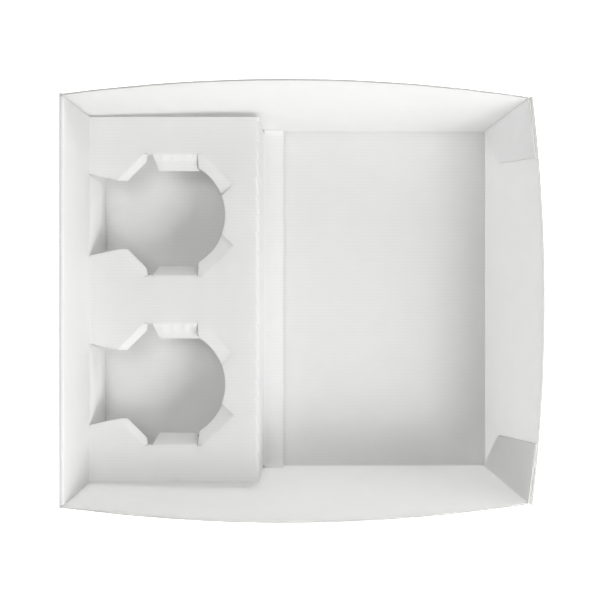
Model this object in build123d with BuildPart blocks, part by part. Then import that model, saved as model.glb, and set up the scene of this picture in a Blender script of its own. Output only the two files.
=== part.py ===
from build123d import *
import os
from math import cos, radians, sin, sqrt, tan

# Takeaway meal tray, folded from one blank of white F-flute board and glued to itself.
# It has a food compartment on the right, and on the left a raised panel with two cup holes.
# X runs from the cup panel to the right wall, Y from front to back, Z up.
# The origin is the middle of the tray's outline, on the surface that it stands on.
# All sizes are in millimetres, and all leans and bends in degrees.

# Board
board = 1.2                   # thickness of the fluted board
fold = 0.9                    # radius of a fold, along the middle of the board
seam = 0.4                    # how far a cut edge stands past its neighbour at a corner

# Overall sizes, over the outer faces
rim_length = 334.0            # left rim fold to the middle of the right rim
rim_depth = 303.6             # front rim to back rim, at their middles

# Heights of the rim above the table
left_rim = 85.0               # the straight fold of the left wall
side_rim = 90.0               # middle of the back and front walls
right_corner_rim = 80.0       # right ends of the back and front walls
right_rim = 84.0              # middle of the right wall

# Lean of each wall out from upright
left_lean = 12.4
side_lean = 15.7              # back and front walls, at their middles
side_lean_left = 10.5         # the same walls, at the left corners
side_lean_right = 10.1
right_lean = 18.6             # right wall, at its middle
right_lean_corner = 14.4      # its ends spring a little away from the glue tabs
tab_lean_corner = 12.7        # right glue tabs, at the corners

# Cup panel, divider and glue flap
panel_height = 41.2           # top face above the table
panel_length = 122.0          # left fold to divider fold
panel_gap = 1.3               # from its cut edges to the side walls, at the left corners
divider_lean = 1.4            # how far the divider's foot stands out past its fold
glue_flap = 15.7              # length of the flap that is glued to the floor
ply_gap = 0.6                 # between the ends of the inner ply and the side walls

# Cup holes
cup_radius = 39.3
cup_pitch = 122.0             # centre to centre, along Y
cup_offset = 2.6              # centre of the holes, left of the middle of the panel
straight_margin = 5.0         # from the cup's circle out to the folds of the back and front flaps
right_margin = 8.6            # the same for the two right corner flaps
left_margin = 5.9             # the same for the two left corner flaps
straight_flap = 13.2          # length of the back and front flaps
straight_flap_right = 19.1    # from the cup's middle line to the right end of their folds
straight_flap_left = 13.1     # from the cup's middle line to the left end of their folds
straight_flap_taper = 4.2     # how much their left sides draw in
right_flap_end = 22.3         # from the cup's middle line to the end of a right flap's fold
left_flap_end = 25.0          # from the cup's middle line to the end of a left flap's fold
left_flap_taper = 5.2         # how much its outer end draws in
left_flap_inner = 16.4        # from the cup's middle line to the inner end of a left flap
slit = 0.4                    # width of a cut where a flap was only cut free

# Flaps that hang below the left fold of the cup panel, one at each cup hole
side_flap = 27.0
side_flap_root = 59.0         # width at the fold
side_flap_tip = 42.0          # width at the free end
side_flap_shoulder = 19.0     # from the fold to where it is as wide as the gap between the corner flaps

# Perforations of the divider fold
perforation_pitch = 13.5
perforation_cut = 7.0
perforation_width = 0.7

# Corner glue tabs
tab_reach = 26.0              # from the floor's corner to the tab's free edge

# Bends of the cup flaps below the panel: at the back hole, then at the front hole
back_flap_bends = (14, 28)
front_flap_bends = (59, 55)
back_right_bends = (6, 3)
front_right_bends = (16, 22)
back_left_bends = (14, 10)
front_left_bends = (6, 16)

# Places worked out from those sizes
rim_left = -rim_length / 2
floor_right = rim_length / 2 - right_rim * tan(radians(right_lean)) - board / cos(radians(right_lean))
floor_half = rim_depth / 2 - side_rim * tan(radians(side_lean)) - board / cos(radians(side_lean))
loft_top = max(left_rim, side_rim, right_rim) + 5


def right_face(height, lean):
    """X of the right wall's inner face at a height."""
    return floor_right + height * tan(radians(lean))


def side_face(height, lean):
    """Distance from the tray's middle to a side wall's inner face at a height."""
    return floor_half + height * tan(radians(lean))


# The left wall is three boards thick, so it turns over at the rim round one board
up_left = Vector(-sin(radians(left_lean)), cos(radians(left_lean)))
across_left = Vector(up_left.Y, -up_left.X)
rim_centre = Vector(rim_left + 1.5 * board, left_rim - 1.5 * board)


def left_face(height, depth):
    """X at a height in the left wall, a depth of board in from its outer face."""
    drop = (rim_centre.Y - height) * tan(radians(left_lean))
    return rim_centre.X + drop + (depth - 1.5 * board) / cos(radians(left_lean))


floor_left = left_face(0, board)
panel_left = left_face(panel_height, 3 * board)
panel_right = panel_left + panel_length
cup_x = (panel_left + panel_right) / 2 - cup_offset
cup_centres = [(cup_x, cup_pitch / 2), (cup_x, -cup_pitch / 2)]
panel_half = side_face(panel_height, side_lean_left) - panel_gap


def straight_section(start, end, shift):
    """Thin section of a wall on the table, with its inner face from start to end."""
    with BuildSketch() as section:
        with BuildLine():
            Polyline(start, end, end + shift, start + shift, close=True)
        make_face()
    return section.sketch


def bowed_section(start, middle, end, shift):
    """Thin section of a wall higher up, with its inner face through three points."""
    with BuildSketch() as section:
        with BuildLine():
            ThreePointArc(start, middle, end)
            Line(end, end + shift)
            ThreePointArc(end + shift, middle + shift, start + shift)
            Line(start + shift, start)
        make_face()
    return section.sketch


def above_rim(start, middle, end, reach):
    """Everything above a bowed rim, seen square on to its wall."""
    with BuildSketch() as cut:
        with BuildLine():
            ThreePointArc(start, middle, end)
            Polyline(end, (reach, end[1]), (reach, 2 * loft_top), (-reach, 2 * loft_top))
            Polyline((-reach, 2 * loft_top), (-reach, start[1]), start)
        make_face()
    return cut.sketch


# Back wall, with the front wall as its mirror image
side_shift = Vector(0, board / cos(radians(side_lean)))


def side_corner_left(height):
    """Inner corner point of the back wall, half a board into the left wall."""
    return Vector(left_face(height, board / 2), side_face(height, side_lean_left))


def side_corner_right(height):
    """Inner corner point of the back wall, at the outer face of its right tab."""
    return Vector(right_face(height, tab_lean_corner), side_face(height, side_lean_right))


side_middle_x = (left_face(side_rim, board) + right_face(side_rim, tab_lean_corner)) / 2

with BuildPart() as side_walls:
    with BuildSketch():
        add(straight_section(side_corner_left(0), side_corner_right(0), side_shift))
    with BuildSketch(Plane.XY.offset(loft_top)):
        side_middle = Vector(side_middle_x, side_face(loft_top, side_lean))
        add(bowed_section(side_corner_left(loft_top), side_middle, side_corner_right(loft_top), side_shift))
    loft(ruled=True)
    fillet(side_walls.edges().group_by(Axis.Z)[0].sort_by(Axis.Y)[-1], radius=fold)
    with BuildSketch(Plane.XZ):
        right_corner_x = right_face(right_corner_rim, tab_lean_corner)
        rim_ends = ((rim_left, left_rim), (right_corner_x, right_corner_rim))
        add(above_rim(rim_ends[0], (side_middle_x, side_rim), rim_ends[1], rim_length))
    extrude(amount=rim_depth, both=True, mode=Mode.SUBTRACT)
    mirror(about=Plane.XZ)

# Right wall, with its cut ends past the side walls
right_shift = Vector(board / cos(radians(right_lean)), 0)


def right_end(height):
    """Inner point at the back end of the right wall."""
    past = side_shift.Y + seam
    return Vector(right_face(height, right_lean_corner), side_face(height, side_lean_right) + past)


def mirrored(point):
    """The same point at the front of the tray."""
    return Vector(point.X, -point.Y)


right_corner_y = side_face(right_corner_rim, side_lean_right)
above_right_rim = above_rim(
    (-right_corner_y, right_corner_rim),
    (0, right_rim),
    (right_corner_y, right_corner_rim),
    rim_depth,
)

with BuildPart() as right_wall:
    with BuildSketch():
        add(straight_section(right_end(0), mirrored(right_end(0)), right_shift))
    with BuildSketch(Plane.XY.offset(loft_top)):
        right_middle = Vector(right_face(loft_top, right_lean), 0)
        add(bowed_section(right_end(loft_top), right_middle, mirrored(right_end(loft_top)), right_shift))
    loft(ruled=True)
    fillet(right_wall.edges().group_by(Axis.Z)[0].sort_by(Axis.X)[-1], radius=fold)
    with BuildSketch(Plane.YZ):
        add(above_right_rim)
    extrude(amount=rim_length, both=True, mode=Mode.SUBTRACT)


def tab_end(height):
    """Outer corner point of the back right tab, half a board into the back wall."""
    past = side_shift.Y / 2
    return Vector(right_face(height, tab_lean_corner), side_face(height, side_lean_right) + past)


def tab_outline(top):
    """Outline of both tabs of one wall, seen along X, from the floor's corners up to a height."""
    free_edge = floor_half - tab_reach
    with BuildSketch() as outline:
        with BuildLine():
            Polyline(
                (floor_half, board),
                (free_edge, board + tab_reach),
                (free_edge, top),
                (rim_depth, top),
                (rim_depth, board),
                close=True,
            )
        make_face()
        mirror(about=Plane.YZ)
    return outline.sketch


# Right tabs, glued to the inner face of the right wall
with BuildPart() as right_tabs:
    with BuildSketch():
        add(straight_section(tab_end(0), mirrored(tab_end(0)), -right_shift))
    with BuildSketch(Plane.XY.offset(loft_top)):
        add(bowed_section(tab_end(loft_top), right_middle, mirrored(tab_end(loft_top)), -right_shift))
    loft(ruled=True)
    with BuildSketch(Plane.YZ):
        add(above_right_rim)
    extrude(amount=rim_length, both=True, mode=Mode.SUBTRACT)
    with BuildSketch(Plane.YZ):
        add(tab_outline(2 * loft_top))
    extrude(amount=rim_length, both=True, mode=Mode.INTERSECT)

# Floor, up to the middle of each side wall
with BuildPart() as floor_panel:
    with BuildSketch():
        with Locations(((floor_left + floor_right) / 2, 0)):
            Rectangle(floor_right - floor_left + board, 2 * floor_half + board)
    extrude(amount=board)

# Outer ply of the left wall, up from the floor and over the rim
with BuildPart() as outer_ply:
    with BuildSketch(Plane.XZ):
        with BuildLine():
            ply_top = rim_centre - across_left * board
            foot_corner = (left_face(board / 2, board / 2), board / 2)
            FilletPolyline((floor_left + 4 * board, board / 2), foot_corner, ply_top, radius=fold)
            JernArc(start=ply_top, tangent=up_left, radius=board, arc_size=-90)
        trace(line_width=board)
    extrude(amount=rim_depth, both=True)
    with BuildSketch(Plane.YZ):
        foot = floor_half + board / 2
        foot_end = side_face(board, side_lean_left) + side_shift.Y + seam
        rim_end = side_face(left_rim, side_lean_left) + side_shift.Y + seam
        with BuildLine():
            Polyline(
                (0, 0),
                (foot, 0),
                (foot, board),
                (foot_end, board),
                (rim_end, left_rim),
                (0, left_rim),
                close=True,
            )
        make_face()
        mirror(about=Plane.YZ)
    extrude(amount=rim_length, both=True, mode=Mode.INTERSECT)

# Left tabs, glued between the two plies
with BuildPart() as left_tabs:
    tab_top = left_rim - 3 * board
    with BuildSketch(Plane.XZ):
        with BuildLine():
            Polyline(
                (left_face(board, board), board),
                (left_face(tab_top, board), tab_top),
                (left_face(tab_top, 2 * board), tab_top),
                (left_face(board, 2 * board), board),
                close=True,
            )
        make_face()
    extrude(amount=rim_depth, both=True)
    with BuildSketch(Plane.YZ):
        add(tab_outline(tab_top))
    extrude(amount=rim_length, both=True, mode=Mode.INTERSECT)
    with BuildSketch(Plane.YZ):
        end_shift = side_shift.Y / 2
        with BuildLine():
            Polyline(
                (0, 0),
                (side_face(0, side_lean_left) + end_shift, 0),
                (side_face(loft_top, side_lean_left) + end_shift, loft_top),
                (0, loft_top),
                close=True,
            )
        make_face()
        mirror(about=Plane.YZ)
    extrude(amount=rim_length, both=True, mode=Mode.INTERSECT)

# Inner ply, cup panel, divider and glue flap, one after another from the rim to the floor
panel_middle = panel_height - board / 2
divider_foot = panel_right + divider_lean
with BuildPart() as cup_panel:
    with BuildSketch(Plane.XZ):
        with BuildLine():
            rim_top = rim_centre + up_left * board
            rim_turn = JernArc(start=rim_top, tangent=across_left, radius=board, arc_size=-90)
            FilletPolyline(
                rim_turn @ 1,
                (left_face(panel_middle, 2.5 * board), panel_middle),
                (panel_right - board / 2, panel_middle),
                (divider_foot - board / 2, 1.5 * board),
                (divider_foot + glue_flap, 1.5 * board),
                radius=fold,
            )
        trace(line_width=board)
    extrude(amount=rim_depth, both=True)
    with BuildSketch(Plane.YZ):
        inner_end = side_face(left_rim, side_lean_left) - ply_gap
        with BuildLine():
            Polyline(
                (0, 0),
                (floor_half, 0),
                (panel_half, panel_height),
                (inner_end, left_rim),
                (0, left_rim),
                close=True,
            )
        make_face()
        mirror(about=Plane.YZ)
    extrude(amount=rim_length, both=True, mode=Mode.INTERSECT)

# Folds of the cup flaps, as distances from the cup's centre
straight_fold = cup_radius + straight_margin
right_fold = cup_radius + right_margin
left_fold = cup_radius + left_margin

# Corner points of the cup opening, seen from the cup's centre, on its back half
right_corner = Vector(right_fold * sqrt(2) - straight_fold, straight_fold)
right_tip = Vector(right_fold * sqrt(2) - right_flap_end, right_flap_end)
left_corner = Vector(straight_fold - left_fold * sqrt(2), straight_fold)
left_tip = Vector(left_flap_end - left_fold * sqrt(2), left_flap_end)
root_corner = Vector(panel_left - cup_x, side_flap_root / 2)

# The right flaps end at a cut square to their fold, which runs in to the cup's circle
tip_along_fold = (right_tip.X - right_tip.Y) / sqrt(2)
end_cut = right_fold - sqrt(cup_radius ** 2 - tip_along_fold ** 2)
end_cut_inner = right_tip - Vector(1, 1) * (end_cut / sqrt(2))

with BuildSketch() as cup_opening:
    with BuildLine():
        Polyline(end_cut_inner, right_tip, right_corner, left_corner, left_tip, root_corner)
        Line(root_corner, mirrored(root_corner))
        Polyline(
            mirrored(root_corner),
            mirrored(left_tip),
            mirrored(left_corner),
            mirrored(right_corner),
            mirrored(right_tip),
            mirrored(end_cut_inner),
        )
        ThreePointArc(mirrored(end_cut_inner), (cup_radius, 0), end_cut_inner)
    make_face()


# Folds of the flaps on the back half of a cup opening, and the outline of each flap from its fold
straight_ends = (Vector(straight_flap_right, straight_fold), Vector(-straight_flap_left, straight_fold))
straight_width = straight_flap_right + straight_flap_left
straight_outline = [
    (0, 0),
    (straight_width, 0),
    (straight_width - straight_flap_taper, straight_flap),
    (slit, straight_flap),
]

# A right flap runs in behind the straight flap, and a left flap to the notch beside it
right_width = (right_corner - right_tip).length
right_inner = (right_corner.X - straight_flap_right - slit) / sqrt(2)
right_outline = [
    (slit, 0),
    (right_width, 0),
    (right_width + right_inner, right_inner),
    (right_width + right_inner - right_margin, right_inner + right_margin),
    (slit, right_inner + right_margin),
]
left_width = (left_tip - left_corner).length
left_inner = (-left_flap_inner - left_corner.X) / sqrt(2)
left_outline = [
    (slit, 0),
    (left_width, 0),
    (left_width - left_flap_taper, left_margin),
    (left_margin - 2 * left_inner, left_margin),
    (slit - left_inner, left_inner),
]


def flap(centre, fold_ends, outline, bend, front=False, cup_edge=False):
    """Flap bent down about a fold of the opening's back half, or about its mirror image in front."""
    start, end = fold_ends
    width = (end - start).length
    if front:
        start, end = mirrored(end), mirrored(start)
        outline = [(width - across, down) for across, down in reversed(outline)]
    along = (end - start).normalized()
    inward = Vector(-along.Y, along.X)
    hinge = Vector(centre[0], centre[1], panel_height) + start
    face_up = inward * sin(radians(bend)) + Vector(0, 0, cos(radians(bend)))
    leaf_plane = Plane(origin=hinge, x_dir=along, z_dir=face_up)
    with BuildPart() as leaf:
        with BuildSketch(leaf_plane):
            with BuildLine():
                Polyline(*outline, close=True)
            make_face()
            if cup_edge:
                with Locations((-start.dot(along), -start.dot(inward))):
                    Circle(cup_radius, mode=Mode.SUBTRACT)
        extrude(amount=-board)
    return leaf.part


def side_leaf(centre):
    """Flap left in line with the inner ply, hanging below the cup panel's left fold."""
    root = (panel_left, centre[1], panel_height)
    ply_plane = Plane(origin=root, x_dir=(0, -1, 0), z_dir=(across_left.X, 0, across_left.Y))
    half_outline = [
        (side_flap_root / 2, -2 * board),
        (side_flap_root / 2, 0),
        (left_flap_end, side_flap_shoulder),
        (side_flap_tip / 2, side_flap),
    ]
    other_half = [(-across, down) for across, down in reversed(half_outline)]
    with BuildPart() as leaf:
        with BuildSketch(ply_plane):
            with BuildLine():
                Polyline(*half_outline, *other_half, close=True)
            make_face()
        extrude(amount=-board)
    return leaf.part


# Flaps round both cup holes
right_ends = (right_tip, right_corner)
left_ends = (left_corner, left_tip)
flaps = []
for hole, centre in enumerate(cup_centres):
    flaps += [
        flap(centre, straight_ends, straight_outline, back_flap_bends[hole]),
        flap(centre, straight_ends, straight_outline, front_flap_bends[hole], front=True),
        flap(centre, right_ends, right_outline, back_right_bends[hole], cup_edge=True),
        flap(centre, right_ends, right_outline, front_right_bends[hole], front=True, cup_edge=True),
        flap(centre, left_ends, left_outline, back_left_bends[hole]),
        flap(centre, left_ends, left_outline, front_left_bends[hole], front=True),
        side_leaf(centre),
    ]

# The whole tray
with BuildPart() as tray:
    add(floor_panel.part)
    add(side_walls.part)
    add(right_wall.part)
    add(right_tabs.part)
    add(outer_ply.part)
    add(left_tabs.part)
    add(cup_panel.part)
    with BuildSketch(Plane.XY.offset(panel_height)):
        with Locations(*cup_centres):
            add(cup_opening.sketch)
    extrude(amount=-2 * board, mode=Mode.SUBTRACT)
    for leaf in flaps:
        add(leaf)
    # Cuts of the perforated fold, on its outer corner
    fold_corner = Plane(origin=(panel_right, 0, panel_height), x_dir=(1, 0, -1), z_dir=(1, 0, 1))
    with Locations(fold_corner):
        with GridLocations(1, perforation_pitch, 1, int(2 * panel_half / perforation_pitch)):
            Box(perforation_width, perforation_cut, 6 * board, mode=Mode.SUBTRACT)

tray.part.label = "tray"
os.makedirs("parts", exist_ok=True)
export_step(tray.part, "parts/tray.step")
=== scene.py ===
from math import acos, cos, exp, pi, radians, sin, sqrt, tan

import bmesh
import bpy
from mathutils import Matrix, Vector, kdtree


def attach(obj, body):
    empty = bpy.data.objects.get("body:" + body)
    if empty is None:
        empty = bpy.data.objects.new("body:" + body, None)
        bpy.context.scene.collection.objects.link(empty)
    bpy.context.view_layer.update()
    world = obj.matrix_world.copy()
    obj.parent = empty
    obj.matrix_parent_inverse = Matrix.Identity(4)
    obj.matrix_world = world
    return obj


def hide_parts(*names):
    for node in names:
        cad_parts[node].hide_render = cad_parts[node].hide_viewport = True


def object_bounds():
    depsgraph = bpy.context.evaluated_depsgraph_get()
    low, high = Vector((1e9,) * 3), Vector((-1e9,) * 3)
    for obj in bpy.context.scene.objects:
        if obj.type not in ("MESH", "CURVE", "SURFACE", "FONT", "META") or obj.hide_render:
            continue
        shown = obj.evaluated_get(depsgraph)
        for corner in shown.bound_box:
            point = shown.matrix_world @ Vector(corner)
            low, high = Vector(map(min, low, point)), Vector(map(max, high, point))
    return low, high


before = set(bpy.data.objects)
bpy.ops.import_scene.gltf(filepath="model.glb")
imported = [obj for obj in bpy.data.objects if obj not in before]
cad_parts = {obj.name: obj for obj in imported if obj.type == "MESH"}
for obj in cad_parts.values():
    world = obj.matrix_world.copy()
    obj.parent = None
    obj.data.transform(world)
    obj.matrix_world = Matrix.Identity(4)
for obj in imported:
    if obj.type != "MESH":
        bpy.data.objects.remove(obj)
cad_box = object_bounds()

# The tray is one blank of white fluted board, folded and glued. Each panel of the blank is cut out flat,
# given the board's thickness, and then folded into place by a formula. Sizes are in millimetres and
# angles in degrees, except in the studio.
MM = 0.001

# Board
BOARD = 1.2
FLUTE_PITCH = 2.4
LINER = 0.17                  # each of the two outer papers
MEDIUM = 0.15                 # half the band that the waved paper between them takes up
CREASE = 0.35                 # roundness of a creased fold
BEND_ROUNDNESS = 0.5          # roundness of a bent flap's fold
SEAM = 0.4                    # how far a cut edge stands past its neighbour at a corner

# Overall sizes, over the outer faces
RIM_LENGTH = (cad_box[1].x - cad_box[0].x) / MM
RIM_DEPTH = (cad_box[1].y - cad_box[0].y) / MM

# Heights of the rim above the table
LEFT_RIM = 85.0
SIDE_RIM = 90.0
RIGHT_CORNER_RIM = 80.0
RIGHT_RIM = 84.0

# Lean of each wall out from upright
LEFT_LEAN = 12.4
SIDE_LEAN = 15.7
SIDE_LEAN_LEFT = 10.5
SIDE_LEAN_RIGHT = 10.1
RIGHT_LEAN = 18.6
RIGHT_LEAN_CORNER = 14.4
TAB_LEAN_CORNER = 13.8

# Cup panel, divider and glue flap
PANEL_HEIGHT = 41.2
PANEL_LENGTH = 122.4
PANEL_SHIFT = 0.8             # how far the inner ply stands off the outer one at the cup panel
PANEL_GAP = 1.3
DIVIDER_LEAN = 1.4
GLUE_FLAP = 15.7
GLUE_FLAP_RIDE = 1.5          # how far its ends ride up the side walls
RIDE_ROUNDNESS = 1.0
PLY_GAP = 0.6
STRIP_ROUNDNESS = (0.35, 0.7, 0.7, 0.8, 0.7, 2.6)     # from the fold at the floor to the divider's foot

# Cup holes and their flaps
CUP_RADIUS = 39.3
CUP_PITCH = 122.0
CUP_OFFSET = 2.6
STRAIGHT_FOLD = CUP_RADIUS + 5.0
RIGHT_FOLD = CUP_RADIUS + 8.6
LEFT_FOLD = CUP_RADIUS + 5.9
STRAIGHT_FLAP = 13.2
STRAIGHT_FLAP_RIGHT = 19.1
STRAIGHT_FLAP_LEFT = 13.1
STRAIGHT_FLAP_TAPER = 4.2
STRAIGHT_FLAP_CORNER = 21.2   # where its free edge ends, past the right corner flap's inner end
STRAIGHT_FLAP_LEFT_ROUND = 1.6
STRAIGHT_FLAP_RIGHT_ROUND = 0.8
RIGHT_FLAP_END = 22.3
RIGHT_FLAP_SIDE = 20.2        # where its inner side meets the cup's circle
LEFT_FLAP_END = 25.0
LEFT_FLAP_TAPER = 5.2
LEFT_FLAP_INNER = 16.4
LEFT_FLAP_INNER_TAPER = 2.6
LEFT_FLAP_ROUND = 1.2
NOTCH_DEPTH = 1.1             # the notch beside it starts this far in from the straight fold
NOTCH_ROUND = 1.0
SLIT = 0.3
SIDE_FLAP = 25.0
SIDE_FLAP_ROOT = 59.0
SIDE_FLAP_TIP = 42.0
SIDE_FLAP_SHOULDER = 17.0

# Bends of the cup flaps below the panel, each a distance from the fold and an angle:
# at the back hole, then at the front hole
BACK_FLAP_BENDS = (((0.5, 32), (5.5, 9)), ((0.5, 38), (8.0, 20)))
FRONT_FLAP_BENDS = (((0.5, 59),), ((0.5, 55),))
BACK_RIGHT_BENDS = (((0.5, 9),), ((0.5, 2),))
FRONT_RIGHT_BENDS = (((0.5, 16),), ((0.5, 22),))
BACK_LEFT_BENDS = (((0.5, 24),), ((0.5, 26),))
FRONT_LEFT_BENDS = (((0.5, 6),), ((0.5, 16),))

# Perforated folds, where the board breaks off in small scallops
TOOTH_PITCH = 13.2
TOOTH_START = 101.3           # Y of one tooth's low end
TOOTH = 1.3                   # how far each tooth steps back
TOOTH_REACH = 4.0             # how far from the fold the board still follows it
SCALLOP_PLACES = (-5.9, 2.2, 10.2, 17.0)
SCALLOP = 1.1
SCALLOP_WIDTH = 1.1

# Corner glue tabs
TAB_REACH = 26.0
RIGHT_TAB_FOOT = 31.0         # reach of a right tab at its lower corner
RIGHT_TAB_RIM = 42.0          # and at its rim
TAB_FOOT = 1.0

# Share of the light that each liner lets through, so that lit walls glow inside
WALL_PASSES = 0.45
PANEL_PASSES = 0.53           # nothing backs the cup panel
GLUE_FLAP_PASSES = 0.36       # the floor lies right under it
SIDE_FLAP_PASSES = 0.2        # the left wall's plies stand behind it
TAB_PASSES = (0.0, 0.2)       # at the back and at the front, with the right wall behind them

# How finely the board is divided so that it can bend
STEP_ALONG = 8.0
STEP_WALL = 6.0
STEP_SIDE_WALL = 5.0
STEP_PANEL = 4.0
STEP_TAB = 4.0
STEP_SIDE_FLAP = 3.0
STEP_FLAP = 1.35
STEP_FOOT = 1.0               # at the divider's rounded foot
FOOT_REACH = 6.0
FOLD_REACH = 3.0              # how far from a fold its closer lines go
FOLD_STEPS = (-2.4, -1.4, -0.8, -0.4, 0, 0.4, 0.8, 1.4, 2.4)
CORNER_STEPS = (-1.4, -0.6, 0, 0.6, 1.4)
RISE_STEPS = [-0.5, 0, 0.5, 1.0, 2.0]                 # up a wall from the floor's fold
RIDE_STEPS = (0.5, 1.0, 2.0, 3.0)                     # in from the ends of the glue flap
TOOTH_STEPS = (3.2, 4.2, 5.5)                         # from the perforated fold onto the panel
TOOTH_SHARES = (0.005, 0.05, 0.25, 0.5, 0.75, 0.95, 0.995)
FLAP_STEPS = [0.3, 0.7, 1.2, 2.0]                     # in from a cup flap's fold
FLAP_STEP_REST = 1.0
RIM_PARTS = 40
CUP_PARTS = 16
FLAP_EDGE_PARTS = 10
FLANGE = 1.0                  # strip of a wall's panel that lies flat, joined to the floor panel
MATCH = 0.03                  # edges nearer than this are the same edge
NUDGE = 0.01                  # step by which a surface's slope is measured
OPPOSITE = -0.9               # two faces whose normals' product is below this look at each other
SHARP_FOLD = 40               # folds steeper than this keep a sharp line

# Places worked out from those sizes
MID = BOARD / 2
SIDE_SHIFT = BOARD / cos(radians(SIDE_LEAN))
RIGHT_SHIFT = BOARD / cos(radians(RIGHT_LEAN))
FLOOR_RIGHT = RIM_LENGTH / 2 - RIGHT_RIM * tan(radians(RIGHT_LEAN)) - RIGHT_SHIFT
FLOOR_HALF = RIM_DEPTH / 2 - SIDE_RIM * tan(radians(SIDE_LEAN)) - SIDE_SHIFT
RIM_CENTRE = Vector((-RIM_LENGTH / 2 + 1.5 * BOARD, LEFT_RIM - 1.5 * BOARD))
UP_LEFT = Vector((-sin(radians(LEFT_LEAN)), cos(radians(LEFT_LEAN))))
ACROSS_LEFT = Vector((UP_LEFT.y, -UP_LEFT.x))


def mix(low, high, share):
    return low + (high - low) * share


def arch(share):
    """0 at both ends of a bowed line and 1 at its middle."""
    return 4 * share * (1 - share)


def soft(x, roundness):
    """x above zero and nothing below it, with a rounded bend between the two."""
    return (x + sqrt(x * x + roundness * roundness)) / 2


def steps(low, high, step):
    """Even places between two ends, about a step apart, without the ends."""
    count = max(1, round((high - low) / step))
    return [mix(low, high, i / count) for i in range(1, count)]


def left_face(height, depth):
    """X at a height in the left wall, a depth of board in from its outer face."""
    drop = (RIM_CENTRE.y - height) * tan(radians(LEFT_LEAN))
    return RIM_CENTRE.x + drop + (depth - 1.5 * BOARD) / cos(radians(LEFT_LEAN))


def side_face(height, lean):
    """Distance from the tray's middle to a side wall's inner face at a height."""
    return FLOOR_HALF + height * tan(radians(lean))


# Folds at the edges of the floor panel, along the middle of the board
LEFT_EDGE = left_face(MID, MID)
RIGHT_EDGE = FLOOR_RIGHT + RIGHT_SHIFT / 2
SIDE_EDGE = FLOOR_HALF + SIDE_SHIFT / 2
WALL_LEFT = left_face(MID, 1.5 * BOARD)
WALL_RIGHT = FLOOR_RIGHT - RIGHT_SHIFT / 2
RIGHT_END = FLOOR_HALF + SIDE_SHIFT + SEAM

# Left strip of the blank: outer ply, rim, inner ply, cup panel, divider and glue flap.
# First its folds as points (x, z), then the ways it runs between them, and the place of each along it.
PANEL_MIDDLE = PANEL_HEIGHT - MID
PANEL_LEFT = left_face(PANEL_HEIGHT, 3 * BOARD) + PANEL_SHIFT
PANEL_RIGHT = PANEL_LEFT + PANEL_LENGTH
DIVIDER_FOOT = PANEL_RIGHT + DIVIDER_LEAN
STRIP = [
    Vector((LEFT_EDGE, MID)),
    RIM_CENTRE + (UP_LEFT - ACROSS_LEFT) * BOARD,
    RIM_CENTRE + (UP_LEFT + ACROSS_LEFT) * BOARD,
    Vector((left_face(PANEL_MIDDLE, 2.5 * BOARD) + PANEL_SHIFT, PANEL_MIDDLE)),
    Vector((PANEL_RIGHT - MID, PANEL_MIDDLE)),
    Vector((DIVIDER_FOOT - MID, 1.5 * BOARD)),
    Vector((DIVIDER_FOOT + GLUE_FLAP, 1.5 * BOARD)),
]
STRIP_WAYS = [Vector((-1, 0))] + [(b - a).normalized() for a, b in zip(STRIP, STRIP[1:])]
STRIP_PLACES = [0.0]
for before, after in zip(STRIP, STRIP[1:]):
    STRIP_PLACES.append(STRIP_PLACES[-1] + (after - before).length)
FOOT, RIM_OUTER, RIM_INNER, PANEL_FOLD, DIVIDER_FOLD, DIVIDER_END, STRIP_END = STRIP_PLACES
RIM_TOP = (RIM_OUTER + RIM_INNER) / 2

PANEL_HALF = side_face(PANEL_HEIGHT, SIDE_LEAN_LEFT) - PANEL_GAP
CUP_X = (PANEL_LEFT + PANEL_RIGHT) / 2 - CUP_OFFSET
CUP_CENTRES = [Vector((CUP_X, CUP_PITCH / 2)), Vector((CUP_X, -CUP_PITCH / 2))]


def tooth(across):
    """How far along its tooth a place across the perforated fold lies, from 0 to 1."""
    return ((across - TOOTH_START) / TOOTH_PITCH) % 1


def divider_fold(distance, across):
    """Place of the perforated fold, as the board near it takes it."""
    near = 1 / (1 + ((distance - DIVIDER_FOLD) / TOOTH_REACH) ** 4)
    return DIVIDER_FOLD - TOOTH * tooth(across) * near


def in_side_flap(across):
    return any(abs(across - centre.y) < SIDE_FLAP_ROOT / 2 - MATCH for centre in CUP_CENTRES)


def strip_point(distance, across, panel_folded=True):
    """Point of the left strip at a distance along it from the floor's fold."""
    places = STRIP_PLACES[:4] + [divider_fold(distance, across), DIVIDER_END]
    point = STRIP[0] + STRIP_WAYS[0] * distance
    folds = list(zip(places, STRIP_WAYS, STRIP_WAYS[1:], STRIP_ROUNDNESS))
    if not panel_folded:
        folds = folds[:3]
    for place, way_in, way_out, rounding in folds:
        point = point + (way_out - way_in) * soft(distance - place, rounding)
    return Vector((point.x, across, point.y))


def left_wall_form(a, b):
    return strip_point(LEFT_EDGE - a, b, not in_side_flap(b))


def cup_panel_form(a, b):
    point = strip_point(LEFT_EDGE - a, b)
    if LEFT_EDGE - a > DIVIDER_END:
        point.z += soft(abs(b) - FLOOR_HALF + RIDE_ROUNDNESS, RIDE_ROUNDNESS)
    return point


def side_flap_form(a, b):
    return strip_point(LEFT_EDGE - a, b, panel_folded=False)


def floor_form(a, b):
    return Vector((a, b, MID))


def side_slope(share):
    corner = mix(tan(radians(SIDE_LEAN_LEFT)), tan(radians(SIDE_LEAN_RIGHT)), share)
    return mix(corner, tan(radians(SIDE_LEAN)), arch(share))


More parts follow.
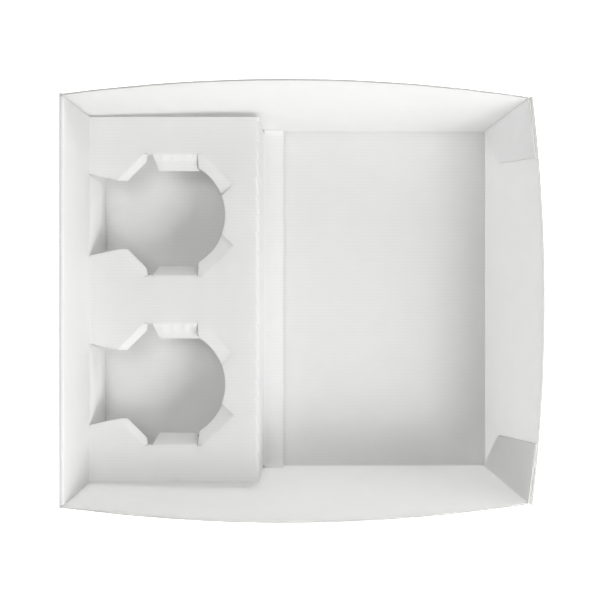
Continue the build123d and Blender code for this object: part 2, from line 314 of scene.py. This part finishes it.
def side_wall_form(a, b):
    """Back or front wall, which turns the corners into its two glue tabs."""
    side = 1 if b > 0 else -1
    rise = soft(side * b - SIDE_EDGE, CREASE)
    inset = soft(SIDE_EDGE - side * b, CREASE)
    right_tab = soft(a - WALL_RIGHT, CREASE)
    left_tab = soft(WALL_LEFT - a, CREASE)
    share = (a - right_tab + left_tab - WALL_LEFT) / (WALL_RIGHT - WALL_LEFT)
    left = WALL_LEFT - rise * tan(radians(LEFT_LEAN))
    right = WALL_RIGHT + rise * tan(radians(TAB_LEAN_CORNER))
    more_slope = tan(radians(RIGHT_LEAN)) - tan(radians(TAB_LEAN_CORNER))
    tab_bow = arch(right_tab / (2 * SIDE_EDGE)) * more_slope
    out = SIDE_EDGE + rise * side_slope(share) - inset - right_tab - left_tab
    return Vector((mix(left, right, share) + rise * tab_bow, side * out, MID + rise))


def right_wall_form(a, b):
    rise = soft(a - RIGHT_EDGE, CREASE)
    inset = soft(RIGHT_EDGE - a, CREASE)
    share = (b / RIGHT_END + 1) / 2
    slope = mix(tan(radians(RIGHT_LEAN_CORNER)), tan(radians(RIGHT_LEAN)), arch(share))
    reach = RIGHT_END + rise * tan(radians(SIDE_LEAN_RIGHT))
    return Vector((RIGHT_EDGE + rise * slope - inset, b / RIGHT_END * reach, MID + rise))


# Board work
def cut_board(outline, across_lines, along_lines):
    """Flat piece of board cut to an outline, with lines that let it bend."""
    board = bmesh.new()
    board.faces.new([board.verts.new((a, b, 0)) for a, b in outline])
    for normal, places in (((1, 0, 0), across_lines), ((0, 1, 0), along_lines)):
        for place in places:
            score(board, Vector(normal) * place, normal)
    return board


def score(board, place, normal):
    """Divides the faces of a flat piece along a line."""
    parts = board.verts[:] + board.edges[:] + board.faces[:]
    bmesh.ops.bisect_plane(board, geom=parts, dist=MATCH / 10, plane_co=place, plane_no=normal)


def form_board(board, surface, whole):
    """Gives a flat piece its thickness, folds it to a surface and adds it to the whole tray."""
    flat = board.faces[:]
    grown = bmesh.ops.extrude_face_region(board, geom=flat, use_keep_orig=True)["geom"]
    top = [part for part in grown if isinstance(part, bmesh.types.BMVert)]
    bmesh.ops.translate(board, verts=top, vec=(0, 0, BOARD))
    for face in board.faces:
        depths = [vert.co.z for vert in face.verts]
        face.material_index = 1 if max(depths) - min(depths) > BOARD / 2 else 0
        face.smooth = True
    bmesh.ops.recalc_face_normals(board, faces=board.faces)
    sheet = board.verts.layers.float_vector.new("sheet")
    passes = board.verts.layers.float.new("passes")
    for vert in board.verts:
        a, b, depth = vert.co
        point = surface(a, b)
        along = surface(a + NUDGE, b) - point
        across = surface(a, b + NUDGE) - point
        vert[sheet] = Vector(sheet_place(a, b, point, depth)) * MM
        vert[passes] = passing(surface, a, b)
        vert.co = (point + along.cross(across).normalized() * (depth - MID)) * MM
    mesh = bpy.data.meshes.new("board")
    board.to_mesh(mesh)
    whole.from_mesh(mesh)
    bpy.data.meshes.remove(mesh)
    board.free()


def passing(surface, a, b):
    """How much light the board lets through at a place on the blank."""
    if surface is cup_panel_form:
        return GLUE_FLAP_PASSES if LEFT_EDGE - a > DIVIDER_FOLD else PANEL_PASSES
    if surface is side_flap_form:
        return SIDE_FLAP_PASSES
    if surface is side_wall_form and a > WALL_RIGHT + TAB_FOOT:
        return TAB_PASSES[0] if b > 0 else TAB_PASSES[1]
    return WALL_PASSES


def sheet_place(a, b, point, depth):
    """Place in the flat board: along the flutes, across them, and down from one face."""
    in_side_wall = WALL_LEFT - TAB_REACH <= a <= WALL_RIGHT + RIGHT_TAB_RIM
    if abs(b) > SIDE_EDGE and point.z > BOARD and in_side_wall:
        return (a, b, depth)
    return (a, point.y, depth)


def join_boards(whole):
    """Welds panels that meet at a fold, without the cut edges that lie against each other there."""
    edges = [face for face in whole.faces if face.material_index == 1]
    tree = kdtree.KDTree(len(edges))
    for index, face in enumerate(edges):
        tree.insert(face.calc_center_median(), index)
    tree.balance()
    meeting = []
    for face in edges:
        near = [edges[found[1]] for found in tree.find_range(face.calc_center_median(), MATCH * MM)]
        if any(other is not face and other.normal.dot(face.normal) < OPPOSITE for other in near):
            meeting.append(face)
    bmesh.ops.delete(whole, geom=meeting, context="FACES_ONLY")
    bmesh.ops.remove_doubles(whole, verts=whole.verts, dist=MATCH * MM)


# Lines that every panel crossing the tray shares, at the teeth of the perforated fold
ACROSS_FINE = []
for number in range(-20, 5):
    ACROSS_FINE += [TOOTH_START + (number + share) * TOOTH_PITCH for share in TOOTH_SHARES]
ALONG_FLOOR = steps(WALL_LEFT, WALL_RIGHT, STEP_ALONG)


def fold_lines(*places):
    return [place + step for place in places for step in FOLD_STEPS]


def along_strip(distances):
    return [LEFT_EDGE - distance for distance in distances]


def both_sides(half):
    """A closed outline from the points of its back half, in order, and the same points at the front."""
    return half + [(a, -b) for a, b in reversed(half)]


def make_floor(whole):
    back = SIDE_EDGE - FLANGE
    outline = both_sides([(LEFT_EDGE + FLANGE, back), (RIGHT_EDGE - FLANGE, back)])
    form_board(cut_board(outline, ALONG_FLOOR, ACROSS_FINE), floor_form, whole)


def rim_height(share):
    """Height of the middle of a side wall's rim, from its left corner to its right."""
    ends = mix(LEFT_RIM, RIGHT_CORNER_RIM, share)
    top = ends + (SIDE_RIM - (LEFT_RIM + RIGHT_CORNER_RIM) / 2) * arch(share)
    return top - MID * sin(radians(SIDE_LEAN))


def make_side_wall(whole, side):
    free = WALL_RIGHT + RIGHT_TAB_RIM
    left_top = LEFT_RIM - 3 * BOARD
    tab_rim = mix(RIGHT_CORNER_RIM, RIGHT_RIM, arch(RIGHT_TAB_RIM / (2 * SIDE_EDGE)))
    shares = [i / RIM_PARTS for i in range(RIM_PARTS + 1)]
    rim = [(mix(WALL_RIGHT, WALL_LEFT, share), rim_height(1 - share) - MID) for share in shares]
    outline = [
        (WALL_LEFT, -FLANGE),
        (WALL_RIGHT, -FLANGE),
        (WALL_RIGHT, TAB_FOOT),
        (WALL_RIGHT + TAB_FOOT, TAB_FOOT),
        (WALL_RIGHT + RIGHT_TAB_FOOT, TAB_REACH),
        (free, tab_rim - MID),
        *rim,
        (WALL_LEFT, left_top),
        (WALL_LEFT - TAB_REACH, left_top),
        (WALL_LEFT - TAB_REACH, TAB_REACH),
        (WALL_LEFT - TAB_FOOT, TAB_FOOT),
        (WALL_LEFT, TAB_FOOT),
    ]
    placed = [(a, side * (SIDE_EDGE + rise)) for a, rise in outline]
    corners = [place + step for place in (WALL_LEFT, WALL_RIGHT) for step in CORNER_STEPS]
    tabs = steps(WALL_RIGHT, free, STEP_TAB) + steps(WALL_LEFT - TAB_REACH, WALL_LEFT, STEP_ALONG)
    along = ALONG_FLOOR + corners + tabs
    rises = RISE_STEPS + steps(RISE_STEPS[-1], SIDE_RIM, STEP_SIDE_WALL)
    board = cut_board(placed, along, [side * (SIDE_EDGE + rise) for rise in rises])
    form_board(board, side_wall_form, whole)


def make_right_wall(whole):
    back = SIDE_EDGE - FLANGE
    shares = [i / RIM_PARTS for i in range(RIM_PARTS + 1)]
    rim = [mix(RIGHT_END, -RIGHT_END, share) for share in shares]
    heights = [mix(RIGHT_CORNER_RIM, RIGHT_RIM, arch(share)) for share in shares]
    outline = [
        (RIGHT_EDGE - FLANGE, -back),
        (RIGHT_EDGE + MID, -back),
        (RIGHT_EDGE + MID, -RIGHT_END),
        *[(RIGHT_EDGE + height - MID, -b) for b, height in zip(rim, heights)],
        (RIGHT_EDGE + MID, RIGHT_END),
        (RIGHT_EDGE + MID, back),
        (RIGHT_EDGE - FLANGE, back),
    ]
    rises = RISE_STEPS + steps(RISE_STEPS[-1], RIGHT_RIM, STEP_WALL)
    board = cut_board(outline, [RIGHT_EDGE + rise for rise in rises], ACROSS_FINE)
    form_board(board, right_wall_form, whole)


def make_left_wall(whole):
    back = SIDE_EDGE - FLANGE
    foot_end = side_face(BOARD, SIDE_LEAN_LEFT) + SIDE_SHIFT + SEAM
    rim_end = side_face(LEFT_RIM, SIDE_LEAN_LEFT) + SIDE_SHIFT + SEAM
    inner_end = side_face(LEFT_RIM, SIDE_LEAN_LEFT) - PLY_GAP
    outline = both_sides([
        (LEFT_EDGE + FLANGE, back),
        (LEFT_EDGE - MID, back),
        (LEFT_EDGE - MID, foot_end),
        (LEFT_EDGE - RIM_TOP, rim_end),
        (LEFT_EDGE - RIM_TOP, inner_end),
        (LEFT_EDGE - PANEL_FOLD, PANEL_HALF),
    ])
    lines = fold_lines(FOOT, RIM_OUTER, RIM_INNER, PANEL_FOLD)
    lines += steps(FOLD_REACH, RIM_OUTER - FOLD_REACH, STEP_WALL)
    lines += steps(RIM_INNER + FOLD_REACH, PANEL_FOLD - FOLD_REACH, STEP_WALL)
    form_board(cut_board(outline, along_strip(lines), ACROSS_FINE), left_wall_form, whole)


# Cup holes. Points are seen from a cup's centre, with X to the right, on the back half.
RIGHT_CORNER = Vector((RIGHT_FOLD * sqrt(2) - STRAIGHT_FOLD, STRAIGHT_FOLD))
RIGHT_TIP = Vector((RIGHT_FOLD * sqrt(2) - RIGHT_FLAP_END, RIGHT_FLAP_END))
LEFT_CORNER = Vector((STRAIGHT_FOLD - LEFT_FOLD * sqrt(2), STRAIGHT_FOLD))
LEFT_TIP = Vector((LEFT_FLAP_END - LEFT_FOLD * sqrt(2), LEFT_FLAP_END))
NOTCH_LEFT = Vector((-LEFT_FLAP_INNER, STRAIGHT_FOLD))
NOTCH_RIGHT = Vector((-STRAIGHT_FLAP_LEFT, STRAIGHT_FOLD))
STRAIGHT_RIGHT = Vector((STRAIGHT_FLAP_RIGHT, STRAIGHT_FOLD))
ROOT_CORNER = Vector((STRIP[3].x - CUP_X, SIDE_FLAP_ROOT / 2))
TIP_ALONG_FOLD = (RIGHT_TIP.x - RIGHT_TIP.y) / sqrt(2)
END_CUT = RIGHT_FOLD - sqrt(CUP_RADIUS ** 2 - TIP_ALONG_FOLD ** 2)
END_CUT_INNER = RIGHT_TIP - Vector((1, 1)) * (END_CUT / sqrt(2))


def mirrored(point):
    return Vector((point.x, -point.y))


def on_blank(centre, point):
    """Place on the blank of a point of the cup panel, seen from a cup's centre."""
    return LEFT_EDGE - PANEL_FOLD - (centre.x + point.x - STRIP[3].x), centre.y + point.y


def cup_outline(centre):
    """Edge of one cup opening, from its back left corner round to its front left corner."""
    notch = [
        NOTCH_LEFT,
        NOTCH_LEFT + Vector((0.2 * NOTCH_ROUND, -0.7 * NOTCH_DEPTH)),
        NOTCH_LEFT + Vector((NOTCH_ROUND, -NOTCH_DEPTH)),
        NOTCH_RIGHT + Vector((-NOTCH_ROUND, -NOTCH_DEPTH)),
        NOTCH_RIGHT + Vector((-0.2 * NOTCH_ROUND, -0.7 * NOTCH_DEPTH)),
        NOTCH_RIGHT,
    ]
    left_side = [ROOT_CORNER, LEFT_TIP, LEFT_CORNER]
    right_side = [STRAIGHT_RIGHT, RIGHT_CORNER, RIGHT_TIP, END_CUT_INNER]
    back_half = left_side + notch + right_side
    reach = END_CUT_INNER.angle(Vector((1, 0)))
    turns = [mix(reach, -reach, i / CUP_PARTS) for i in range(1, CUP_PARTS)]
    circle = [Vector((cos(turn), sin(turn))) * CUP_RADIUS for turn in turns]
    front_half = [mirrored(point) for point in reversed(back_half)]
    return [on_blank(centre, point) for point in back_half + circle + front_half]


# Lines across the cup panel and its flaps, closer at the straight flaps
FLAP_START = PANEL_FOLD + CUP_X - STRAIGHT_FLAP_LEFT - STRIP[3].x
FLAP_END = PANEL_FOLD + CUP_X + STRAIGHT_FLAP_CORNER - STRIP[3].x
PANEL_LINES = steps(PANEL_FOLD + FOLD_REACH, FLAP_START, STEP_PANEL) + [FLAP_START, FLAP_END]
PANEL_LINES += steps(FLAP_START, FLAP_END, STEP_FLAP)
PANEL_LINES += steps(FLAP_END, DIVIDER_FOLD - FOLD_REACH, STEP_PANEL)


def make_cup_panel(whole):
    ride = FLOOR_HALF + GLUE_FLAP_RIDE
    back_edge = [
        (LEFT_EDGE - PANEL_FOLD, PANEL_HALF),
        (LEFT_EDGE - DIVIDER_FOLD, PANEL_HALF),
        (LEFT_EDGE - DIVIDER_END, FLOOR_HALF),
        (LEFT_EDGE - DIVIDER_END - RIDE_ROUNDNESS, ride),
        (LEFT_EDGE - STRIP_END, ride),
    ]
    front_edge = [(a, -b) for a, b in reversed(back_edge)]
    openings = []
    for centre in reversed(CUP_CENTRES):
        openings += reversed(cup_outline(centre))
    outline = back_edge + front_edge + openings
    lines = fold_lines(PANEL_FOLD, DIVIDER_FOLD) + PANEL_LINES
    lines += [DIVIDER_FOLD - step for step in TOOTH_STEPS]
    lines += steps(DIVIDER_FOLD + FOLD_REACH, DIVIDER_END - FOOT_REACH, STEP_WALL)
    lines += steps(DIVIDER_END - FOOT_REACH, DIVIDER_END + FOOT_REACH, STEP_FOOT)
    lines += steps(DIVIDER_END + FOOT_REACH, STRIP_END, STEP_WALL)
    across = ACROSS_FINE + [side * (ride - inset) for side in (1, -1) for inset in RIDE_STEPS]
    form_board(cut_board(outline, along_strip(lines), across), cup_panel_form, whole)


def make_side_flap(whole, centre):
    """Flap that stays in line with the inner ply and hangs below the cup panel."""
    half = [
        (LEFT_EDGE - PANEL_FOLD, SIDE_FLAP_ROOT / 2),
        (LEFT_EDGE - PANEL_FOLD - SIDE_FLAP_SHOULDER, LEFT_FLAP_END),
        (LEFT_EDGE - PANEL_FOLD - SIDE_FLAP, SIDE_FLAP_TIP / 2),
    ]
    outline = [(a, centre.y + b) for a, b in both_sides(half)]
    lines = along_strip(steps(PANEL_FOLD, PANEL_FOLD + SIDE_FLAP, STEP_SIDE_FLAP))
    form_board(cut_board(outline, lines, ACROSS_FINE), side_flap_form, whole)


def bend_down(reach, bends, delay):
    """How far in and down a place of a flap gets, from its distance to the fold."""
    place_in, down, way = reach, 0.0, (1.0, 0.0)
    for place, angle in bends:
        turned = (cos(radians(angle)), sin(radians(angle)))
        past = soft(reach - place - delay, BEND_ROUNDNESS) - soft(-place, BEND_ROUNDNESS)
        place_in += (turned[0] - way[0]) * past
        down += (turned[1] - way[1]) * past
        way = turned
    return place_in, down


def scallop(place):
    """How much later a straight flap bends where its perforated fold has torn in a little."""
    return SCALLOP * sum(exp(-((place - middle) / SCALLOP_WIDTH) ** 2) for middle in SCALLOP_PLACES)


def make_flap(whole, centre, fold_ends, outline, bends, front=False):
    """Flap bent down about a fold of the opening's back half, or about its mirror image in front.
    Its outline on the blank is seen from the cup's centre."""
    start, end = fold_ends
    if front:
        start, end = mirrored(end), mirrored(start)
        outline = [mirrored(point) for point in reversed(outline)]
    along = (end - start).normalized()
    inward = Vector((-along.y, along.x))

    def form(a, b):
        place = Vector((STRIP[3].x + LEFT_EDGE - a - PANEL_FOLD, b)) - centre
        reach = (place - start).dot(inward)
        delay = 0.0 if front or along.y else scallop(place.x)
        place_in, down = bend_down(reach, bends, delay)
        placed = centre + place + inward * (place_in - reach)
        return Vector((placed.x, placed.y, PANEL_MIDDLE - down))

    placed_outline = [on_blank(centre, point) for point in outline]
    board = cut_board(placed_outline, along_strip(PANEL_LINES), ACROSS_FINE)
    normal = (-inward.x, inward.y, 0)
    for reach in FLAP_STEPS + steps(FLAP_STEPS[-1], STRAIGHT_FLAP, FLAP_STEP_REST):
        a, b = on_blank(centre, start + inward * reach)
        score(board, (a, b, 0), normal)
    form_board(board, form, whole)


def rounded(before, corner, after, radius):
    """Points that take an outline round a corner."""
    first = corner + (before - corner).normalized() * radius
    last = corner + (after - corner).normalized() * radius
    return [first, (first + corner * 2 + last) / 4, last]


def straight_outline():
    free = STRAIGHT_FOLD - STRAIGHT_FLAP
    left_end = Vector((STRAIGHT_FLAP_TAPER - STRAIGHT_FLAP_LEFT, free))
    right_end = Vector((STRAIGHT_FLAP_CORNER, free))
    widening = Vector((STRAIGHT_FLAP_RIGHT - SLIT, sqrt(CUP_RADIUS ** 2 - RIGHT_FLAP_SIDE ** 2)))
    return [
        STRAIGHT_RIGHT,
        NOTCH_RIGHT,
        *rounded(NOTCH_RIGHT, left_end, right_end, STRAIGHT_FLAP_LEFT_ROUND),
        *rounded(left_end, right_end, widening, STRAIGHT_FLAP_RIGHT_ROUND),
        widening,
    ]


def right_outline():
    """Outline of a right corner flap, whose free edge is the cup's circle."""
    low, high = END_CUT_INNER.angle(Vector((1, 0))), acos(RIGHT_FLAP_SIDE / CUP_RADIUS)
    turns = [mix(high, low, i / FLAP_EDGE_PARTS) for i in range(FLAP_EDGE_PARTS + 1)]
    circle = [Vector((cos(turn), sin(turn))) * CUP_RADIUS for turn in turns]
    return [RIGHT_TIP, RIGHT_CORNER, STRAIGHT_RIGHT + Vector((SLIT, 0)), *circle]


def left_outline():
    along = (LEFT_TIP - LEFT_CORNER).normalized()
    inward = Vector((-along.y, along.x)) * (LEFT_FOLD - CUP_RADIUS)
    tip = LEFT_TIP - along * LEFT_FLAP_TAPER + inward
    inner = LEFT_CORNER + along * LEFT_FLAP_INNER_TAPER + inward
    notch = NOTCH_LEFT - Vector((0, SLIT))
    return [LEFT_CORNER, LEFT_TIP, tip, *rounded(tip, inner, notch, LEFT_FLAP_ROUND), notch]


def make_cup_flaps(whole):
    kinds = (
        ((STRAIGHT_RIGHT, NOTCH_RIGHT), straight_outline(), BACK_FLAP_BENDS, FRONT_FLAP_BENDS),
        ((RIGHT_TIP, RIGHT_CORNER), right_outline(), BACK_RIGHT_BENDS, FRONT_RIGHT_BENDS),
        ((LEFT_CORNER, LEFT_TIP), left_outline(), BACK_LEFT_BENDS, FRONT_LEFT_BENDS),
    )
    for hole, centre in enumerate(CUP_CENTRES):
        for fold_ends, outline, back_bends, front_bends in kinds:
            make_flap(whole, centre, fold_ends, outline, back_bends[hole])
            make_flap(whole, centre, fold_ends, outline, front_bends[hole], front=True)
        make_side_flap(whole, centre)


def make_tray():
    """The whole folded tray as one mesh."""
    whole = bmesh.new()
    whole.verts.layers.float_vector.new("sheet")
    whole.verts.layers.float.new("passes")
    make_floor(whole)
    make_side_wall(whole, 1)
    make_side_wall(whole, -1)
    make_right_wall(whole)
    make_left_wall(whole)
    make_cup_panel(whole)
    make_cup_flaps(whole)
    join_boards(whole)
    mesh = bpy.data.meshes.new("folded_tray")
    whole.to_mesh(mesh)
    whole.free()
    mesh.set_sharp_from_angle(angle=radians(SHARP_FOLD))
    tray = bpy.data.objects.new("folded_tray", mesh)
    bpy.context.scene.collection.objects.link(tray)
    return tray


# Materials
def colour(code):
    """Linear colour of an sRGB hex value."""
    parts = [int(code[i:i + 2], 16) / 255 for i in (1, 3, 5)]
    return tuple(c / 12.92 if c <= 0.04045 else ((c + 0.055) / 1.055) ** 2.4 for c in parts) + (1,)


def add_node(tree, kind, settings=None, **inputs):
    """Adds a node. An input is a value, or the socket that it is linked to."""
    made = tree.nodes.new(kind)
    for name, value in (settings or {}).items():
        setattr(made, name, value)
    for name, value in inputs.items():
        key = int(name[1:]) if name[0] == "i" and name[1:].isdigit() else name.replace("_", " ")
        socket = made.inputs[key]
        if isinstance(value, bpy.types.NodeSocket):
            tree.links.new(value, socket)
        else:
            socket.default_value = value
    return made


def new_material(name):
    material = bpy.data.materials.new(name)
    material.use_nodes = True
    material.node_tree.nodes.clear()
    return material, material.node_tree


def maths(tree, operation, first, second=0.0):
    return add_node(tree, "ShaderNodeMath", {"operation": operation}, i0=first, i1=second).outputs[0]


def sheet_coordinates(tree):
    """Places in the flat board, as one vector and as its three parts."""
    read = add_node(tree, "ShaderNodeAttribute", {"attribute_name": "sheet"}).outputs["Vector"]
    return read, add_node(tree, "ShaderNodeSeparateXYZ", Vector=read).outputs


def noise_over(tree, place, size, **settings):
    """Noise whose patches are about a size in millimetres."""
    return add_node(tree, "ShaderNodeTexNoise", Vector=place, Scale=1 / (size * MM), **settings).outputs[0]


def flute_phase(tree, axes):
    return maths(tree, "MULTIPLY", axes[1], 2 * pi / (FLUTE_PITCH * MM))


# Liner
WANDER_PATCH = 55.6           # patches in which the flute lines wander sideways
WANDER = 1.2                  # by how much, as an angle of the flute's wave
STRENGTH_PATCH = 28.6         # patches in which they are stronger or weaker
MOTTLE_PATCH = 16.67          # patches of slightly different white
FIBRE = 0.7143                # paper fibres
FIBRE_RISE = 0.5              # their height, as a share of the flutes'
FLUTE_RISE = 0.03             # height of the flutes through the liner
FLUTE_TONE = 0.022            # how much paler or darker the liner is over the flutes, partly the glue lines' own tone and partly painted shade of their ridges
FLUTE_ON_WALLS = 0.2          # share of that on the steep walls
HOLLOW_DEPTH = 0.2            # how deep the hollows of the cut edge look


def liner_material():
    """White kraft liner of the board. It gives the eye a matt, faintly mottled white that glows where light
    comes through the board, with the flutes as fine even lines, from their bumps and from a tone that is
    partly the glue lines' own and partly painted shade of the flutes' ridges."""
    material, tree = new_material("white_kraft_liner")
    sheet, axes = sheet_coordinates(tree)
    wander = maths(tree, "MULTIPLY", noise_over(tree, sheet, WANDER_PATCH, Detail=2.0), WANDER)
    wave = maths(tree, "SINE", maths(tree, "ADD", flute_phase(tree, axes), wander))
    flute = maths(tree, "MULTIPLY", wave, noise_over(tree, sheet, STRENGTH_PATCH, Detail=3.0))
    normal = add_node(tree, "ShaderNodeNewGeometry").outputs["Normal"]
    facing_up = add_node(tree, "ShaderNodeSeparateXYZ", Vector=normal).outputs[2]
    lies_flat = maths(tree, "POWER", facing_up, 4.0)
    flute = maths(tree, "MULTIPLY", flute, maths(tree, "MAXIMUM", lies_flat, FLUTE_ON_WALLS))
    fibres = noise_over(tree, sheet, FIBRE, Detail=4.0, Roughness=0.6)
    height = maths(tree, "ADD", flute, maths(tree, "MULTIPLY", fibres, FIBRE_RISE))
    bump = add_node(tree, "ShaderNodeBump", Height=height, Strength=1.0, Distance=FLUTE_RISE * MM)
    mottle = noise_over(tree, sheet, MOTTLE_PATCH, Detail=5.0, Roughness=0.7)
    ramp = add_node(tree, "ShaderNodeValToRGB", Fac=mottle)
    ramp.color_ramp.elements[0].position = 0.3
    ramp.color_ramp.elements[0].color = colour("#EDEDED")
    ramp.color_ramp.elements[1].position = 0.7
    ramp.color_ramp.elements[1].color = colour("#F1F1F1")
    # Paler over the flutes' ridges and darker between them, most on faces that look up: partly the glue
    # lines' own tone, partly painted shade.
    flute_tone_and_shade = maths(tree, "ADD", maths(tree, "MULTIPLY", flute, FLUTE_TONE), 1.0)
    tone = add_node(tree, "ShaderNodeHueSaturation", Color=ramp.outputs[0], Value=flute_tone_and_shade)
    paper = add_node(
        tree,
        "ShaderNodeBsdfPrincipled",
        Base_Color=tone.outputs[0],
        Roughness=0.7,
        IOR=1.45,
        Specular_IOR_Level=0.35,
        Normal=bump.outputs[0],
    )
    light = add_node(tree, "ShaderNodeHueSaturation", Color=colour("#F7F7F6"), Value=flute_tone_and_shade)
    through = add_node(tree, "ShaderNodeBsdfTranslucent", Color=light.outputs[0])
    passes = add_node(tree, "ShaderNodeAttribute", {"attribute_name": "passes"}).outputs["Fac"]
    board = add_node(tree, "ShaderNodeMixShader", i0=passes, i1=paper.outputs[0], i2=through.outputs[0])
    add_node(tree, "ShaderNodeOutputMaterial", Surface=board.outputs[0])
    return material


def cut_edge_material():
    """Cut edge of the board. It gives the eye two thin papers with a waved one between them, and small
    hollows with painted shade in them, which together read as a thin grey line from further off."""
    material, tree = new_material("cut_flute_edge")
    axes = sheet_coordinates(tree)[1]
    wave = maths(tree, "MULTIPLY", maths(tree, "SINE", flute_phase(tree, axes)), (MID - LINER) * MM)
    depth = maths(tree, "SUBTRACT", axes[2], MID * MM)
    from_wave = maths(tree, "ABSOLUTE", maths(tree, "SUBTRACT", depth, wave))
    in_wave = maths(tree, "LESS_THAN", from_wave, MEDIUM * MM)
    in_liner = maths(tree, "GREATER_THAN", maths(tree, "ABSOLUTE", depth), (MID - LINER) * MM)
    paper_here = maths(tree, "MAXIMUM", in_wave, in_liner)
    tone = add_node(tree, "ShaderNodeMix", {"data_type": "RGBA"}, Factor=paper_here)
    # The darker grey, where there is no paper, is painted shade in the flutes' hollows; the lighter one is
    # the paper's own tone.
    tone.inputs[6].default_value = colour("#A9A8A4")
    tone.inputs[7].default_value = colour("#D9D9D7")
    bump = add_node(tree, "ShaderNodeBump", Height=paper_here, Strength=0.6, Distance=HOLLOW_DEPTH * MM)
    paper = add_node(
        tree,
        "ShaderNodeBsdfPrincipled",
        Base_Color=tone.outputs[2],
        Roughness=0.85,
        IOR=1.45,
        Specular_IOR_Level=0.25,
        Normal=bump.outputs[0],
    )
    add_node(tree, "ShaderNodeOutputMaterial", Surface=paper.outputs[0])
    return material


# Studio, in metres and watts
AMBIENT = 0.02
TABLE_GLOW = 0.75             # what the camera sees on top of the table's own light
TABLE_HALF = 1.3
TABLE_DROP = 0.0002           # keeps the table's surface just clear of the tray's underside
SOFTBOXES = {
    "key": ((0.75, -0.75, 1.061), 0.5, 12.6),
    "key_front": ((0.0, -1.061, 1.061), 0.5, 1.4),
    "key_right": ((0.997, -0.363, 1.061), 0.5, 0.9),
    "overhead": ((-0.275, 0.275, 1.449), 0.6, 7.0),
    "overhead_front": ((0.275, -0.275, 1.449), 0.6, 2.1),
    "low_front_right": ((0.997, -0.997, 0.513), 0.9, 11.0),
    "low_back_right": ((0.997, 0.997, 0.513), 0.9, 10.2),
    "low_back_left": ((-0.997, 0.997, 0.513), 0.9, 2.0),
    "low_front_left": ((-0.997, -0.997, 0.513), 0.9, 6.4),
}

# Camera
FRAME_PIXELS = 600
CAMERA_FOCAL = 1276.3         # in pixels of the frame
CAMERA_SHIFT = 23             # how far the optical axis lies above the frame's middle, in pixels
CAMERA_PLACE = (-1.5, 16.3, 960.2)
SENSOR = 36


def seen_rays(tree):
    """1 for the camera and for what mirrors or clear glass show, 0 for light scattered through board."""
    path = add_node(tree, "ShaderNodeLightPath").outputs
    seen = maths(tree, "MAXIMUM", path["Is Camera Ray"], path["Is Glossy Ray"])
    seen = maths(tree, "MAXIMUM", seen, path["Is Transmission Ray"])
    clear = {"operation": "SUBTRACT", "use_clamp": True}
    return add_node(tree, "ShaderNodeMath", clear, i0=seen, i1=path["Is Diffuse Ray"]).outputs[0]


def make_table():
    """Plain white table, pale enough to vanish into the background but for the tray's shadow."""
    shape = bmesh.new()
    bmesh.ops.create_grid(shape, x_segments=1, y_segments=1, size=TABLE_HALF)
    bmesh.ops.translate(shape, verts=shape.verts, vec=(0, 0, -TABLE_DROP))
    mesh = bpy.data.meshes.new("table")
    shape.to_mesh(mesh)
    shape.free()
    table = bpy.data.objects.new("table", mesh)
    bpy.context.scene.collection.objects.link(table)
    material, tree = new_material("white_table")
    paint = add_node(tree, "ShaderNodeBsdfDiffuse", Color=colour("#EFEFEF"))
    glow = add_node(tree, "ShaderNodeEmission", Color=colour("#FFFFFF"), Strength=TABLE_GLOW)
    both = add_node(tree, "ShaderNodeAddShader", i0=paint.outputs[0], i1=glow.outputs[0])
    seen = seen_rays(tree)
    shown = add_node(tree, "ShaderNodeMixShader", i0=seen, i1=paint.outputs[0], i2=both.outputs[0])
    add_node(tree, "ShaderNodeOutputMaterial", Surface=shown.outputs[0])
    mesh.materials.append(material)


def make_world():
    """Faint light from all round, and plain white behind the table."""
    world = bpy.data.worlds.new("studio")
    bpy.context.scene.world = world
    world.use_nodes = True
    tree = world.node_tree
    tree.nodes.clear()
    around = add_node(tree, "ShaderNodeBackground", Color=colour("#FFFFFF"), Strength=AMBIENT)
    behind = add_node(tree, "ShaderNodeBackground", Color=colour("#FFFFFF"), Strength=1.0)
    seen = seen_rays(tree)
    shown = add_node(tree, "ShaderNodeMixShader", i0=seen, i1=around.outputs[0], i2=behind.outputs[0])
    add_node(tree, "ShaderNodeOutputWorld", Surface=shown.outputs[0])


def add_softbox(name, place, size, power):
    """Square soft light at a place in metres, turned to the middle of the tray."""
    light = bpy.data.lights.new(name, "AREA")
    light.shape = "SQUARE"
    light.size = size
    light.energy = power
    lamp = bpy.data.objects.new(name, light)
    lamp.location = place
    lamp.rotation_euler = (-Vector(place)).to_track_quat("-Z", "Y").to_euler()
    bpy.context.scene.collection.objects.link(lamp)


def make_camera():
    """Straight above the tray, as the photograph was taken."""
    data = bpy.data.cameras.new("camera")
    data.sensor_width = SENSOR
    data.lens = SENSOR * CAMERA_FOCAL / FRAME_PIXELS
    data.shift_y = -CAMERA_SHIFT / FRAME_PIXELS
    camera = bpy.data.objects.new("camera", data)
    camera.location = Vector(CAMERA_PLACE) * MM
    bpy.context.scene.collection.objects.link(camera)
    bpy.context.scene.camera = camera


tray = make_tray()
tray.data.materials.append(liner_material())
tray.data.materials.append(cut_edge_material())
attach(tray, "root")
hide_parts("tray")

make_camera()
make_table()
make_world()
for name, (place, size, power) in SOFTBOXES.items():
    add_softbox(name, place, size, power)
bpy.context.scene.view_settings.view_transform = "Standard"
